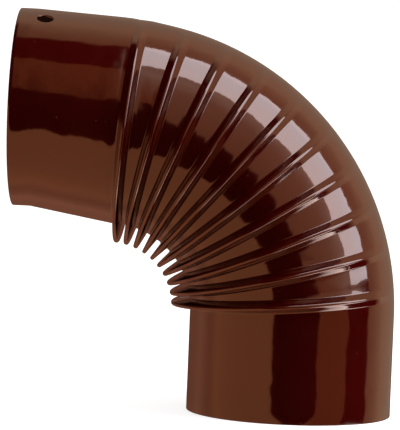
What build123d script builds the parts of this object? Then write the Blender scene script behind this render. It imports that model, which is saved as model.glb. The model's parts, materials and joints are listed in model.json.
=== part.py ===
from build123d import *
import math
import os

# Pleated stovepipe elbow for a 120 mm flue, pressed from one sheet-steel tube and enamelled.
# A plain socket points down, a drawn-in spigot points along -X, and ten hollow pleats turn the
# tube from one to the other. Millimetres, +Z up, the origin at the middle of the lower rim.

# Tube
tube_radius = 60.0  # outside of the enamel
sheet = 1.0  # steel with its enamel on both sides
bend_radius = 108.0  # bend centre to the middle of the tube
bend_angle = 90.0
socket_length = 59.0  # lower rim to the start of the bend

# Spigot: drawn in so that it enters the next pipe, mostly on its throat side
spigot_radius = 58.0
spigot_length = 58.5  # end of the bend to the upper rim
spigot_land = 10.0  # straight part behind the upper rim
spigot_lift = 6.0  # how far the mouth sits off the bend's own axis, toward the heel

# Pleats: pinched hardest at the throat, run out to nothing at the heel
pleat_count = 10
pleat_margin = 5.2  # degrees from either end of the bend to the middle of its first pleat
pleat_height = 11.6  # outside, at the throat
pleat_side_height = 7.4  # outside, half way round
pleat_root = 1.5  # half the width of a pleat at its foot, before it widens toward the heel
pleat_spread = 0.1  # degrees, seen from the bend centre, that each side of it widens by
fold_depth = 7.0  # hollow of the fold, seen from inside the tube, at the throat
fold_side_depth = 3.5  # half way round
fold_root = 0.8  # half the width of the hollow's mouth, before it widens

# Hole that the elbow hangs by while its enamel is fired
hang_hole_radius = 4.8
hang_hole_inset = 16.5  # upper rim to the middle of the hole
hang_hole_angle = 21.0  # degrees round from the top of the spigot, toward -Y
hang_hole_strip = 12.0  # length of the band of the spigot, next to the land, that holds the hole

bend_centre = Vector(-bend_radius, 0, socket_length)
pitch = (bend_angle - 2 * pleat_margin) / (pleat_count - 1)

def station(angle, offset=0.0):
    """Plane square to the tube at an angle round the bend, its x pointing to the heel."""
    turn = math.radians(angle)
    outward = Vector(math.cos(turn), 0, math.sin(turn))
    along = Vector(-math.sin(turn), 0, math.cos(turn))
    return Plane(bend_centre + outward * bend_radius + along * offset, x_dir=outward, z_dir=along)

def ring(plane, radius, lift=0.0):
    """Round section of the tube, its middle lifted toward the heel."""
    return plane * Pos(lift, 0) * Wire([Edge.make_circle(radius)])

def crest(plane, radius, rise, side_rise):
    """Line along a fold: it touches the tube's heel and stands proud by rise at the throat."""
    middle = (-rise / 2, 0)
    oval = EllipticalCenterArc(middle, radius + rise / 2, radius + side_rise, arc_size=360)
    return plane * Wire(oval.edges())

def pleat(number, radius, root, rise, side_rise):
    """One foot, the crest and the other foot of a pleat."""
    middle = pleat_margin + number * pitch
    return [
        ring(station(middle - pleat_spread, -root), radius),
        crest(station(middle), radius, rise, side_rise),
        ring(station(middle + pleat_spread, root), radius),
    ]

def socket(inset):
    """Sections of the socket: the lower rim, and for its bore the end of the straight part."""
    rings = [ring(Plane.XY, tube_radius - inset)]
    if inset > 0:
        rings.append(ring(station(0), tube_radius - inset))
    return rings

def spigot(inset):
    """Sections of the spigot, from the band with the hanging hole to the rim."""
    taper = spigot_length - spigot_land
    share = 1 - hang_hole_strip / taper
    band_radius = tube_radius + (spigot_radius - tube_radius) * share
    band = station(bend_angle, taper - hang_hole_strip)
    return [
        ring(band, band_radius - inset, spigot_lift * share),
        ring(station(bend_angle, taper), spigot_radius - inset, spigot_lift),
        ring(station(bend_angle, spigot_length), spigot_radius - inset, spigot_lift),
    ]

def elbow_form(inset, root, rise, side_rise):
    """The whole elbow as a filled form, its skin moved inward by inset."""
    pleats = []
    for number in range(pleat_count):
        pleats += pleat(number, tube_radius - inset, root, rise, side_rise)
    return Solid.make_loft(socket(inset) + pleats + spigot(inset), ruled=True)

def hang_hole():
    mouth = station(bend_angle, spigot_length - hang_hole_inset)
    outward = mouth * Pos(spigot_lift, 0) * Rot(0, 0, -hang_hole_angle) * Rot(0, 90, 0)
    return outward * Pos(0, 0, spigot_radius) * Cylinder(hang_hole_radius, spigot_radius / 2)

outside = elbow_form(0, pleat_root, pleat_height, pleat_side_height)
inside = elbow_form(sheet, fold_root, fold_depth, fold_side_depth)
elbow = outside - inside - hang_hole()
elbow.label = "pleated_elbow"
os.makedirs("parts", exist_ok=True)
export_step(elbow, "parts/pleated_elbow.step")
print("volume", elbow.volume, "solids", len(elbow.solids()), "valid", elbow.is_valid)
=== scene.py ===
import bmesh
import bpy
import functools
import json
import math
from mathutils import Matrix, Vector


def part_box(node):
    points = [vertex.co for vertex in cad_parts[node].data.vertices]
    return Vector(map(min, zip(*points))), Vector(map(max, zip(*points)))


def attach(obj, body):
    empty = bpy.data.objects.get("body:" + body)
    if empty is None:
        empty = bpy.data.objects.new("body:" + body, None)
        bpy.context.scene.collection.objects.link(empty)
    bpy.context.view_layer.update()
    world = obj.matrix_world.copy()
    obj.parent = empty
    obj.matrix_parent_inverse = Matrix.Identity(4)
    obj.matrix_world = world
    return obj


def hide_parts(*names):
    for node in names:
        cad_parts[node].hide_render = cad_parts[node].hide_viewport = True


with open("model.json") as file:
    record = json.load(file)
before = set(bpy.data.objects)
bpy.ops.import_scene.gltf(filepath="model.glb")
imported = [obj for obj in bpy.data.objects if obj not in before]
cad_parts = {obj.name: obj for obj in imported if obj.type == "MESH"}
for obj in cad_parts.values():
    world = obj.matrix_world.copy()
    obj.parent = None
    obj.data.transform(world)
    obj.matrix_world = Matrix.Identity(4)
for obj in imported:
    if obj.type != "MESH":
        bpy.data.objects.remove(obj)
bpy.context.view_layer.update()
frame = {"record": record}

# Tube, in metres; most of its sizes come from the frame
mounts = {mount["name"]: mount for mount in frame["record"]["mounts"]}
millimetre = 0.001
sheet = 1.0 * millimetre  # steel with its enamel on both sides
tube_radius = mounts["socket"]["dims"]["r_mm"] * millimetre + sheet
socket_length = mounts["socket"]["dims"]["length_mm"] * millimetre
spigot_radius = mounts["spigot"]["dims"]["r_mm"] * millimetre
spigot_land = mounts["spigot"]["dims"]["length_mm"] * millimetre
mouth_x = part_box("pleated_elbow")[0].x
mouth_z = mounts["spigot"]["pos_m"][2]

# Bend
bend_radius = 0.108
bend_angle = math.radians(90)
bend_centre = Vector((-bend_radius, 0, socket_length))
spigot_length = -bend_radius - mouth_x
spigot_lift = mouth_z - socket_length - bend_radius
early_lift = 0.0013  # how far the heel has already climbed at the end of the bend
early_reach = math.radians(14)  # part of the bend over which it does

# Pleats
pleat_count = 10
pleat_margin = math.radians(5.2)  # from either end of the bend to its first pleat's middle
pitch = (bend_angle - 2 * pleat_margin) / (pleat_count - 1)
pleat_height = 0.0112  # at the throat
pleat_rise = 1.15  # how fast the height grows from the heel to the throat
heel_calm = 0.09  # share of the way over which the heel stays smooth
pleat_root = 0.0018  # half the width at the throat, where the flanks meet the tube
pleat_widening = 0.0024  # how much wider each side is at the heel
widening_fade = 0.6  # how fast that width is lost on the way to the throat
crest_round = 0.0013  # radius of the folded edge
crest_limit = 0.75  # largest part of the half width that the round of the crest takes
foot_round = 0.0009  # radius where a flank runs into the tube
flank_limit = 0.45  # largest part of a flank that one of its rounds takes
heel_softness = 0.004  # how much larger both radii get where the pleat runs out
heel_reach = math.radians(36)

# Hollow inside each fold
fold_share = 0.6  # depth of the hollow as a share of the pleat's height
fold_gap = 0.0003  # half the width of the hollow at its bottom
fold_inset = 0.6  # how much narrower it is than the pleat on each side, in sheets
fold_turn = 0.6  # share of the way down the hollow at which its one middle row lies

# Edges and the hanging hole
rim_round = 0.0004
hole_radius = 0.0048
hole_inset = 0.0165  # from the mouth to the middle of the hole
hole_turn = math.radians(21)  # from the top of the spigot toward the camera
hole_border = 0.0012  # ring of even faces round the hole
hole_patch = 0.0026  # how far past the hole the skin is opened to fit that ring

# Fineness of the mesh
columns = 192  # faces round the tube
socket_steps = 6
spigot_steps = 30
rim_steps = 6
outside_gap_steps = 4  # between two pleats
inside_gap_steps = 2
outside_round = (0, 0.25, 0.5, 0.75, 1)  # where the points of a round lie along it
inside_round = (0, 0.5, 1)
weld_distance = 0.000001

# Enamel
brown_thick = (0.024, 0.0004, 0.0003, 1)
brown_thin = (0.036, 0.0009, 0.0006, 1)
brown_grain = (0.031, 0.0008, 0.0005, 1)
brown_speck = (0.09, 0.022, 0.012, 1)
warm_reflection = (1.0, 0.62, 0.42, 1)
sag_depth = 0.0006
wave_depth = 0.00005
ripple_depth = 0.000006

# First coat, which the inside shows, made darker still as painted shade deep in the tube
ground_coat_thick_and_shade = (0.005, 0.0010, 0.0007, 1)
ground_coat_thin_and_shade = (0.010, 0.0024, 0.0017, 1)
ground_coat_dust_and_shade = (0.018, 0.006, 0.004, 1)
coat_depth = 0.00004

# Camera at the photograph's viewing angle, and how white it sees the floor
camera_place = Vector((0.1782, -3.36, 0.4313))
camera_yaw = math.radians(3.9947)
camera_pitch = math.radians(5.3821)
camera_roll = math.radians(2.2991)
camera_lens = 482.15
floor_size = 12  # half its width
floor_paint = (0.8, 0.8, 0.8, 1)
floor_glow = 0.72

# Softbox over the heel, which gives the pale patches between the pleats
softbox_place = (0.316, -0.07, 0.483)
softbox_width = 1.0
softbox_depth = 0.29
softbox_radiance = 4.0
softbox_colour = (1, 1, 1.12)
first_reflection = 1.5  # glossy bounces, between the first and the second

# Light that dull surfaces get from all round, and the room that the enamel reflects
even_light = 0.6
stand_direction = Vector((0.139, -0.989, 0.044))  # from the elbow to the dark camera stand
stand_widening = 0.2  # how fast the stand gets wider toward the floor
stand_widest = 0.015  # the most that it gets wider
heel_wall = (0.60, 0.17, 0.071, 1)
throat_wall = (1.0, 0.40, 0.19, 1)
bright_strip = (6.0, 4.8, 4.5, 1)
dark_gap = (0.12, 0.004, 0.004, 1)
dark_corner = (0.02, 0.002, 0.001, 1)
dark_slope = 0.7  # way to the left, as a share of the way up, at which the dark corner begins


def height(phi):
    """Height of a pleat above the tube, phi turning from the heel to the throat."""
    share = max(0.0, abs(math.sin(phi / 2)) - heel_calm) / (1 - heel_calm)
    return pleat_height * share ** pleat_rise


def half_width(phi):
    """Half the width of a pleat at its foot, which is largest at the heel."""
    return pleat_root + pleat_widening * abs(math.cos(phi / 2)) ** widening_fade


def softness(phi):
    """Extra rounding of a pleat near the heel, where it runs out."""
    near = max(0.0, 1 - math.acos(math.cos(phi)) / heel_reach)
    return heel_softness * near * near


def corner(start, middle, end, share):
    """Point on the round that a corner gets, a share of the way along it."""
    rest = 1 - share
    return start * rest * rest + middle * 2 * share * rest + end * share * share


def station(angle):
    """Outward and forward directions of the tube, angle round the bend."""
    outward = Vector((math.cos(angle), 0, math.sin(angle)))
    forward = Vector((-math.sin(angle), 0, math.cos(angle)))
    return outward, forward


def heel_part(phi):
    """1 at the heel, falling to 0 at the throat."""
    return (1 + math.cos(phi)) / 2


def bend_climb(angle, phi):
    """Lift of the heel over the end of the bend, so that it runs smoothly into the spigot."""
    past = max(0.0, angle - bend_angle + early_reach) / early_reach
    return early_lift * past * past * heel_part(phi)


def spigot_climb(share, phi):
    """Lift of the spigot a share of the way to its land; the heel starts with a little."""
    return spigot_lift * share + early_lift * (1 - share) * heel_part(phi)


def on_tube(angle, phi, radius, offset=0.0, lift=0.0):
    """Point round the tube's section at an angle round the bend, offset along the tube."""
    outward, forward = station(angle)
    reach = bend_radius + lift + radius * math.cos(phi)
    across = Vector((0, -radius * math.sin(phi), 0))
    return bend_centre + outward * reach + across + forward * offset


def on_pleat(number, phi, radius, offset, rise):
    """Point on a pleat: offset from its middle plane, rise above the tube."""
    reach = bend_radius + radius * math.cos(phi)
    sink = reach - math.sqrt(reach * reach - offset * offset)
    angle = pleat_margin + number * pitch
    outward, forward = station(angle)
    point = on_tube(angle, phi, radius + rise, offset, bend_climb(angle, phi))
    return point - outward * sink


@functools.lru_cache(maxsize=None)
def outer_profile(phi):
    """Offset and rise of a pleat's outside, from its foot to the middle of its crest."""
    root = half_width(phi)
    rise = height(phi)
    slope = math.atan2(rise, root - crest_round / 2)
    crest_leg = (crest_round + softness(phi)) * math.tan(slope / 2)
    crest_leg = min(crest_leg, root * crest_limit)
    foot_leg = (foot_round + softness(phi)) * math.tan(slope / 2)
    corner_point = Vector((root, 0))
    shoulder = Vector((crest_leg, rise))
    flank = shoulder - corner_point
    foot = Vector((root + foot_leg, 0))
    low = corner_point + flank * min(foot_leg / flank.length, flank_limit)
    high = shoulder - flank * min(crest_leg / flank.length, flank_limit)
    top = Vector((0, rise))
    points = [corner(foot, corner_point, low, share) for share in outside_round]
    points.append((low + high) / 2)
    points += [corner(high, shoulder, top, share) for share in outside_round]
    return points


@functools.lru_cache(maxsize=None)
def inner_profile(phi):
    """The same for the hollow inside the fold, measured from the tube's inside."""
    root = half_width(phi) - sheet * fold_inset
    rise = height(phi) * fold_share
    corner_point = Vector((root, 0))
    bottom = Vector((fold_gap, rise))
    flank = bottom - corner_point
    leg = foot_round * math.tan(math.atan2(rise, root) / 2)
    foot = Vector((root + leg, 0))
    low = corner_point + flank * min(leg / flank.length, flank_limit)
    points = [corner(foot, corner_point, low, share) for share in inside_round]
    points += [low * (1 - fold_turn) + bottom * fold_turn, bottom]
    return points


def steps_across(profile):
    """How many points lie across a pleat, the same all the way round the tube."""
    return 2 * len(profile(0.0)) - 1


def pleat_point(number, phi, radius, profile, step):
    """Point number step across a pleat, counted from one foot to the other."""
    points = profile(phi)
    last = len(points) - 1
    side = -1 if step <= last else 1
    place = points[step] if step <= last else points[2 * last - step]
    return on_pleat(number, phi, radius, side * place.x, place.y)


def between_pleats(number, phi, radius, profile, share):
    """Point on the smooth tube between a pleat and the one before it."""
    reach = bend_radius + radius * math.cos(phi)
    foot = math.asin(profile(phi)[0].x / reach)
    start = pleat_margin + (number - 1) * pitch + foot if number > 0 else 0.0
    end = pleat_margin + number * pitch - foot if number < pleat_count else bend_angle
    angle = start + (end - start) * share
    return on_tube(angle, phi, radius, 0.0, bend_climb(angle, phi))


def bend_rows(radius, profile, gap_steps):
    """Rows round the bend from the socket to the spigot."""
    rows = []
    for number in range(pleat_count + 1):
        for gap in range(1, gap_steps):
            share = gap / gap_steps
            rows.append(lambda phi, n=number, s=share: between_pleats(n, phi, radius, profile, s))
        if number < pleat_count:
            for step in range(steps_across(profile)):
                rows.append(lambda phi, n=number, s=step: pleat_point(n, phi, radius, profile, s))
    return rows


def socket_row(radius, z):
    """Row of the socket at a height above the floor."""
    return lambda phi: Vector((radius * math.cos(phi), -radius * math.sin(phi), z))


def spigot_row(inset, along):
    """Row of the spigot: its circle narrows and climbs toward the heel up to the land."""
    share = min(along / (spigot_length - spigot_land), 1)
    radius = tube_radius + (spigot_radius - tube_radius) * share - inset
    return lambda phi: on_tube(bend_angle, phi, radius, along, spigot_climb(share, phi))


def round_rim(row, start):
    """Rows over a rim's rounded edge; row gives one from its inset and how far it stands out."""
    rows = []
    for step in range(1, rim_steps):
        turn = start + math.pi * step / rim_steps
        rows.append(row(sheet / 2 - math.cos(turn) * sheet / 2, math.sin(turn) * rim_round))
    return rows


def elbow_rows():
    """All rows, up the outside from the lower rim and back down the inside.

    The numbers of the first and last row of the inside come with them.
    """
    inside = tube_radius - sheet
    straight = socket_length - rim_round
    mouth = spigot_length - rim_round
    socket_places = [rim_round + straight * step / socket_steps for step in range(socket_steps + 1)]
    spigot_places = [mouth * step / spigot_steps for step in range(spigot_steps + 1)]
    rows = [socket_row(tube_radius, z) for z in socket_places]
    rows += bend_rows(tube_radius, outer_profile, outside_gap_steps)
    rows += [spigot_row(0, along) for along in spigot_places]
    rows += round_rim(lambda inset, out: spigot_row(inset, mouth + out), 0)
    first_inside = len(rows)
    rows += [spigot_row(sheet, along) for along in reversed(spigot_places)]
    rows += reversed(bend_rows(inside, inner_profile, inside_gap_steps))
    rows += [socket_row(inside, z) for z in reversed(socket_places)]
    last_inside = len(rows) - 1
    rows += round_rim(lambda inset, out: socket_row(tube_radius - inset, rim_round + out), math.pi)
    return rows, first_inside, last_inside


def next_ring(mesh, loop, ring):
    """Extrudes a ring of edges and gives the new edges and the new points in the same order."""
    made = bmesh.ops.extrude_edge_only(mesh, edges=loop)["geom"]
    points = {item for item in made if isinstance(item, bmesh.types.BMVert)}
    edges = [item for item in made if isinstance(item, bmesh.types.BMEdge)]
    edges = [edge for edge in edges if edge.verts[0] in points and edge.verts[1] in points]
    followers = []
    for vert in ring:
        others = [edge.other_vert(vert) for edge in vert.link_edges]
        followers.append(next(other for other in others if other in points))
    return edges, followers


def sweep(mesh, rows, first_inside, last_inside):
    """Carries a ring of edges through every row and joins the last one to the first.

    The faces of the inside get the second material.
    """
    bmesh.ops.create_circle(mesh, segments=columns, radius=tube_radius)
    full_turn = 2 * math.pi
    turns = [full_turn * number / columns for number in range(columns)]
    ring = sorted(mesh.verts, key=lambda vert: math.atan2(-vert.co.y, vert.co.x) % full_turn)
    first_loop = list(mesh.edges)
    loop = first_loop
    for number, row in enumerate(rows):
        if number > 0:
            loop, ring = next_ring(mesh, loop, ring)
        for vert, phi in zip(ring, turns):
            vert.co = row(phi)
        if first_inside < number <= last_inside:
            for edge in loop:
                edge.link_faces[0].material_index = 1
    bmesh.ops.bridge_loops(mesh, edges=first_loop + loop)


def place_on_spigot(point):
    """Distance along the spigot, angle round it and inset from its outside, for a point on it."""
    along = -bend_radius - point.x
    share = max(min(along / (spigot_length - spigot_land), 1), 0)
    level = point.z - socket_length - bend_radius
    up = level - spigot_climb(share, math.atan2(-point.y, level))
    inset = tube_radius + (spigot_radius - tube_radius) * share - math.hypot(up, point.y)
    return along, math.atan2(-point.y, up), inset


def hole_edge(mesh, inset):
    """Opens a patch of one skin round the hanging hole and gives the edges left open."""
    reach = hole_radius + hole_patch
    centre = spigot_length - hole_inset
    patch = []
    for face in mesh.faces:
        along, phi, depth = place_on_spigot(face.calc_center_median())
        level = abs(depth - inset) < sheet / 4 and abs(along - centre) < reach
        if level and abs(phi - hole_turn) * spigot_radius < reach:
            patch.append(face)
    bmesh.ops.delete(mesh, geom=patch, context="FACES")
    return [edge for edge in mesh.edges if edge.is_boundary]


def ordered(loop):
    """Points of a closed loop of edges, one after another."""
    ring = [loop[0].verts[0]]
    left = set(loop)
    while left:
        edge = next(item for item in ring[-1].link_edges if item in left)
        left.remove(edge)
        ring.append(edge.other_vert(ring[-1]))
    return ring[:-1]


def hang_hole(mesh):
    """Hole through both skins with rounded edges."""
    inner_loop = hole_edge(mesh, sheet)
    loop = [edge for edge in hole_edge(mesh, 0) if edge not in inner_loop]
    ring = ordered(loop)
    centre = spigot_length - hole_inset
    turns = []
    for vert in ring:
        along, phi, depth = place_on_spigot(vert.co)
        turns.append(math.atan2((phi - hole_turn) * spigot_radius, along - centre))
    edge_radius = hole_radius + rim_round
    steps = [(hole_radius + hole_border, 0), (edge_radius, 0)]
    for step in range(1, rim_steps + 1):
        turn = math.pi * step / rim_steps
        steps.append((edge_radius - math.sin(turn) * rim_round, (1 - math.cos(turn)) * sheet / 2))
    for radius, inset in steps:
        loop, ring = next_ring(mesh, loop, ring)
        for vert, turn in zip(ring, turns):
            phi = hole_turn + radius * math.sin(turn) / spigot_radius
            vert.co = spigot_row(inset, centre + radius * math.cos(turn))(phi)
    bmesh.ops.bridge_loops(mesh, edges=inner_loop + loop)


def make_elbow():
    """The whole elbow: one closed skin, outside and inside, with the hanging hole."""
    mesh = bmesh.new()
    rows, first_inside, last_inside = elbow_rows()
    sweep(mesh, rows, first_inside, last_inside)
    hang_hole(mesh)
    bmesh.ops.remove_doubles(mesh, verts=mesh.verts, dist=weld_distance)
    bmesh.ops.recalc_face_normals(mesh, faces=mesh.faces)
    for face in mesh.faces:
        face.smooth = True
    data = bpy.data.meshes.new("elbow")
    mesh.to_mesh(data)
    mesh.free()
    piece = bpy.data.objects.new("enamelled_elbow", data)
    bpy.context.collection.objects.link(piece)
    return piece


def grey(level):
    return (level, level, level, 1)


def add_node(tree, kind, **settings):
    node = tree.nodes.new(kind)
    for name, value in settings.items():
        setattr(node, name, value)
    return node


def noise(tree, place, scale, detail, roughness):
    """Noise over the piece's own coordinates; its size is given as waves in a metre."""
    node = add_node(tree, "ShaderNodeTexNoise")
    node.inputs["Scale"].default_value = scale
    node.inputs["Detail"].default_value = detail
    node.inputs["Roughness"].default_value = roughness
    tree.links.new(place.outputs["Object"], node.inputs["Vector"])
    return node.outputs["Fac"]


def ramp(tree, value, stops):
    """Colours or greys along a value, given as (position, colour) stops."""
    node = add_node(tree, "ShaderNodeValToRGB")
    bar = node.color_ramp
    bar.elements[0].position, bar.elements[0].color = stops[0]
    bar.elements[1].position, bar.elements[1].color = stops[-1]
    for position, colour in stops[1:-1]:
        bar.elements.new(position).color = colour
    tree.links.new(value, node.inputs["Fac"])
    return node.outputs["Color"]


def fade(tree, value, start, end, low=0.0, high=1.0):
    """Grey that goes from low to high while the value goes from start to end."""
    return ramp(tree, value, [(start, grey(low)), (end, grey(high))])


def bump(tree, height_value, depth, under=None):
    """Unevenness of a depth in metres, on top of the one under it."""
    node = add_node(tree, "ShaderNodeBump")
    node.inputs["Strength"].default_value = 1.0
    node.inputs["Distance"].default_value = depth
    tree.links.new(height_value, node.inputs["Height"])
    if under:
        tree.links.new(under, node.inputs["Normal"])
    return node.outputs["Normal"]


def mix_colour(tree, share, first, second):
    """First colour where the share is 0 and second where it is 1."""
    node = add_node(tree, "ShaderNodeMix", data_type="RGBA")
    tree.links.new(share, node.inputs["Factor"])
    for socket, colour in ((node.inputs[6], first), (node.inputs[7], second)):
        if isinstance(colour, tuple):
            socket.default_value = colour
        else:
            tree.links.new(colour, socket)
    return node.outputs[2]


def calculate(tree, operation, first, second):
    node = add_node(tree, "ShaderNodeMath", operation=operation)
    tree.links.new(first, node.inputs[0])
    if isinstance(second, float):
        node.inputs[1].default_value = second
    else:
        tree.links.new(second, node.inputs[1])
    return node.outputs["Value"]


def light_from(tree, colour):
    """Light of the world in one colour, or in one that other nodes work out."""
    node = add_node(tree, "ShaderNodeBackground")
    if isinstance(colour, tuple):
        node.inputs["Color"].default_value = colour
    else:
        tree.links.new(colour, node.inputs["Color"])
    return node.outputs["Background"]


def pick(tree, share, first, second):
    """First light where the share is 0 and second where it is 1."""
    node = add_node(tree, "ShaderNodeMixShader")
    tree.links.new(share, node.inputs["Fac"])
    tree.links.new(first, node.inputs[1])
    tree.links.new(second, node.inputs[2])
    return node.outputs["Shader"]


def enamel_finish():
    """Glossy dark brown enamel, a little thinner and redder in places, with fine specks."""
    material = bpy.data.materials.new("enamel")
    material.use_nodes = True
    tree = material.node_tree
    shader = tree.nodes["Principled BSDF"]
    place = add_node(tree, "ShaderNodeTexCoord")
    flow = noise(tree, place, 24, 4, 0.6)
    brown = ramp(tree, flow, [(0.35, brown_thick), (0.65, brown_thin)])
    fine = fade(tree, noise(tree, place, 1400, 2, 0.6), 0.3, 0.7)
    grain = mix_colour(tree, fine, brown, brown_grain)
    speck = fade(tree, noise(tree, place, 380, 1, 0.4), 0.79, 0.81)
    colour = mix_colour(tree, speck, grain, brown_speck)
    tree.links.new(colour, shader.inputs["Base Color"])
    gloss = fade(tree, noise(tree, place, 60, 5, 0.65), 0.3, 0.7, 0.07, 0.15)
    tree.links.new(gloss, shader.inputs["Roughness"])
    sag = bump(tree, noise(tree, place, 38, 2, 0.4), sag_depth)
    wave = bump(tree, noise(tree, place, 120, 2, 0.5), wave_depth, sag)
    ripple = bump(tree, noise(tree, place, 420, 2, 0.5), ripple_depth, wave)
    tree.links.new(ripple, shader.inputs["Normal"])
    tree.links.new(ripple, shader.inputs["Coat Normal"])
    shader.inputs["Metallic"].default_value = 0.0
    shader.inputs["IOR"].default_value = 1.5
    shader.inputs["Specular Tint"].default_value = warm_reflection
    shader.inputs["Coat Weight"].default_value = 1.0
    shader.inputs["Coat Roughness"].default_value = 0.03
    shader.inputs["Coat IOR"].default_value = 1.5
    return material


def inside_coat_and_painted_shade():
    """Dull, nearly black first coat of the inside, uneven and a little dusty; part of that darkness
    is painted shade inside the tube.
    """
    material = bpy.data.materials.new("enamel_inside")
    material.use_nodes = True
    tree = material.node_tree
    shader = tree.nodes["Principled BSDF"]
    place = add_node(tree, "ShaderNodeTexCoord")
    flow = noise(tree, place, 30, 4, 0.6)
    # Painted shade: these near-black tones, the dust included, darken the inside as the shade deep
    # in the tube would
    dark = ramp(tree, flow, [(0.3, ground_coat_thick_and_shade), (0.7, ground_coat_thin_and_shade)])
    dust = fade(tree, noise(tree, place, 700, 3, 0.6), 0.6, 0.8)
    colour = mix_colour(tree, dust, dark, ground_coat_dust_and_shade)
    tree.links.new(colour, shader.inputs["Base Color"])
    gloss = fade(tree, noise(tree, place, 90, 4, 0.6), 0.3, 0.7, 0.55, 0.8)
    tree.links.new(gloss, shader.inputs["Roughness"])
    skin = bump(tree, noise(tree, place, 500, 3, 0.6), coat_depth)
    tree.links.new(skin, shader.inputs["Normal"])
    shader.inputs["Metallic"].default_value = 0.0
    shader.inputs["IOR"].default_value = 1.25
    return material


def softbox(name, place, aim, width, depth, radiance, colour):
    """Rectangular lamp that looks at a point, given by the brightness of its face.

    It is left out of reflections of reflections, which would mottle the pleats.
    """
    lamp = bpy.data.lights.new(name, "AREA")
    lamp.shape = "RECTANGLE"
    lamp.size = width
    lamp.size_y = depth
    lamp.energy = radiance * math.pi * width * depth
    lamp.color = colour
    lamp.use_nodes = True
    tree = lamp.node_tree
    paths = add_node(tree, "ShaderNodeLightPath")
    direct = calculate(tree, "LESS_THAN", paths.outputs["Glossy Depth"], first_reflection)
    tree.links.new(direct, tree.nodes["Emission"].inputs["Strength"])
    lamp_object = bpy.data.objects.new(name, lamp)
    bpy.context.collection.objects.link(lamp_object)
    back = (Vector(place) - Vector(aim)).normalized()
    side = Vector((0, 1, 0)).cross(back).normalized()
    turn = Matrix((side, back.cross(side), back)).transposed()
    lamp_object.matrix_world = Matrix.Translation(place) @ turn.to_4x4()
    lamp_object.visible_camera = False


def studio_floor():
    """Pale floor that the camera sees as white, with the elbow's shadow on it."""
    mesh = bmesh.new()
    bmesh.ops.create_grid(mesh, x_segments=1, y_segments=1, size=floor_size)
    data = bpy.data.meshes.new("floor")
    mesh.to_mesh(data)
    mesh.free()
    floor = bpy.data.objects.new("floor", data)
    bpy.context.collection.objects.link(floor)
    material = bpy.data.materials.new("floor_paint")
    material.use_nodes = True
    tree = material.node_tree
    shader = tree.nodes["Principled BSDF"]
    shader.inputs["Base Color"].default_value = floor_paint
    shader.inputs["Roughness"].default_value = 0.9
    shader.inputs["Emission Color"].default_value = grey(1.0)
    paths = add_node(tree, "ShaderNodeLightPath")
    glow = calculate(tree, "MULTIPLY", paths.outputs["Is Camera Ray"], floor_glow)
    tree.links.new(glow, shader.inputs["Emission Strength"])
    data.materials.append(material)
    floor.visible_glossy = False


def room_directions(tree):
    """How far a direction of the room points to the right and up, and away from the stand.

    The last goes from 0 at the camera stand to 1 behind the elbow. It is held back a little
    toward the floor, where the stand is wider.
    """
    place = add_node(tree, "ShaderNodeTexCoord")
    split = add_node(tree, "ShaderNodeSeparateXYZ")
    tree.links.new(place.outputs["Generated"], split.inputs["Vector"])
    facing = add_node(tree, "ShaderNodeVectorMath", operation="DOT_PRODUCT")
    facing.inputs[1].default_value = stand_direction
    tree.links.new(place.outputs["Generated"], facing.inputs[0])
    turned = add_node(tree, "ShaderNodeMapRange")
    turned.inputs["From Min"].default_value = 1.0
    turned.inputs["From Max"].default_value = -1.0
    tree.links.new(facing.outputs["Value"], turned.inputs["Value"])
    right = split.outputs["X"]
    up = split.outputs["Z"]
    below = calculate(tree, "MAXIMUM", calculate(tree, "MULTIPLY", up, -1.0), 0.0)
    foot = calculate(tree, "MULTIPLY", calculate(tree, "MULTIPLY", below, below), stand_widening)
    foot = calculate(tree, "MINIMUM", foot, stand_widest)
    away = calculate(tree, "SUBTRACT", turned.outputs["Result"], foot)
    return right, up, away


def room_walls(tree, away):
    """Walls of the room, each as its colours from the camera stand to behind the elbow."""
    stand = [(0.0, grey(0.0)), (0.052, grey(0.0))]
    far_end = [(0.90, (0.38, 0.25, 0.17, 1)), (0.985, (0.25, 0.16, 0.11, 1)), (0.998, grey(0.45))]
    back = [(0.530, (0.68, 0.30, 0.16, 1)), (0.75, (0.76, 0.42, 0.25, 1))] + far_end
    heel_side = ramp(tree, away, stand + [
        (0.058, heel_wall), (0.255, heel_wall), (0.265, dark_gap), (0.505, dark_gap),
    ] + back)
    diagonal = ramp(tree, away, [
        (0.0, grey(0.0)), (0.011, grey(0.0)), (0.016, (0.85, 0.36, 0.20, 1)),
        (0.16, (1.0, 0.52, 0.34, 1)), (0.255, (1.35, 0.88, 0.70, 1)), (0.505, dark_gap),
    ] + back)
    throat_side = ramp(tree, away, stand + [
        (0.058, throat_wall), (0.55, throat_wall), (0.66, (0.64, 0.24, 0.13, 1)),
        (0.80, (0.62, 0.24, 0.14, 1)), (0.90, (0.32, 0.12, 0.07, 1)),
        (1.0, (0.12, 0.04, 0.022, 1)),
    ])
    strip = ramp(tree, away, stand + [
        (0.058, heel_wall), (0.30, heel_wall), (0.37, bright_strip), (0.54, bright_strip),
        (0.62, dark_gap), (1.0, dark_gap),
    ])
    upper_left = ramp(tree, away, [
        (0.0, dark_corner), (0.70, dark_corner), (0.78, (0.6, 0.35, 0.22, 1)),
    ] + far_end)
    return heel_side, diagonal, throat_side, strip, upper_left


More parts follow.
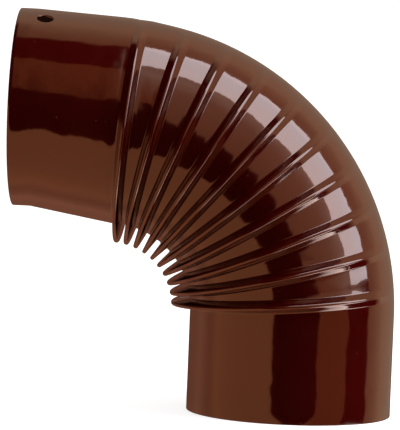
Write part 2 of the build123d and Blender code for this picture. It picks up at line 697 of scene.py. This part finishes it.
def room_in_the_gloss(tree):
    """Warm room that only glossy surfaces see.

    Its heel side is up and to the right, its throat side down and to the left. Between right
    and up, where the tube between the pleats looks, lies a paler diagonal wall, and low on the
    right a bright strip. The upper left is dark until well behind the elbow, and its lower
    corner stays dark all the way.
    """
    right, up, away = room_directions(tree)
    left = calculate(tree, "MULTIPLY", right, -1.0)
    down = calculate(tree, "MULTIPLY", up, -1.0)
    heel_side, diagonal, throat_side, strip, upper_left = room_walls(tree, away)
    on_heel_side = fade(tree, calculate(tree, "ADD", right, up), 0.0, 0.12)
    # The next value is moved up by 0.1, because a ramp starts at 0
    right_and_up = calculate(tree, "ADD", calculate(tree, "MINIMUM", right, up), 0.1)
    on_diagonal = fade(tree, right_and_up, 0.09, 0.165)
    on_strip = fade(tree, calculate(tree, "MINIMUM", right, down), 0.34, 0.46)
    on_upper_left = fade(tree, calculate(tree, "MINIMUM", left, up), 0.08, 0.2)
    lean = calculate(tree, "SUBTRACT", left, calculate(tree, "MULTIPLY", up, dark_slope))
    on_corner = calculate(tree, "MULTIPLY", fade(tree, lean, 0.0, 0.1), on_upper_left)
    room = mix_colour(tree, on_heel_side, throat_side, heel_side)
    room = mix_colour(tree, on_diagonal, room, diagonal)
    room = mix_colour(tree, on_strip, room, strip)
    room = mix_colour(tree, on_upper_left, room, upper_left)
    return mix_colour(tree, on_corner, room, dark_corner)


def studio_world():
    """White for the camera, even light for what is dull, and the warm room for what is glossy."""
    world = bpy.data.worlds.new("studio")
    bpy.context.scene.world = world
    world.use_nodes = True
    tree = world.node_tree
    paths = add_node(tree, "ShaderNodeLightPath")
    even = light_from(tree, grey(even_light))
    room = light_from(tree, room_in_the_gloss(tree))
    lit = pick(tree, paths.outputs["Is Glossy Ray"], even, room)
    shown = pick(tree, paths.outputs["Is Camera Ray"], lit, light_from(tree, grey(1.0)))
    tree.links.new(shown, tree.nodes["World Output"].inputs["Surface"])


def photo_camera():
    """Camera at the photograph's viewing angle."""
    lens = bpy.data.cameras.new("camera")
    lens.lens = camera_lens
    camera = bpy.data.objects.new("camera", lens)
    bpy.context.collection.objects.link(camera)
    yaw = Matrix.Rotation(camera_yaw, 4, "Z")
    pitch_up = Matrix.Rotation(math.pi / 2 - camera_pitch, 4, "X")
    roll = Matrix.Rotation(camera_roll, 4, "Z")
    camera.matrix_world = Matrix.Translation(camera_place) @ yaw @ pitch_up @ roll
    bpy.context.scene.camera = camera


elbow = make_elbow()
elbow.data.materials.append(enamel_finish())
elbow.data.materials.append(inside_coat_and_painted_shade())
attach(elbow, "root")
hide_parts("pleated_elbow")

studio_floor()
studio_world()
softbox(
    "diagonal_softbox", softbox_place, bend_centre, softbox_width, softbox_depth,
    softbox_radiance, softbox_colour,
)
photo_camera()
bpy.context.scene.view_settings.view_transform = "Standard"
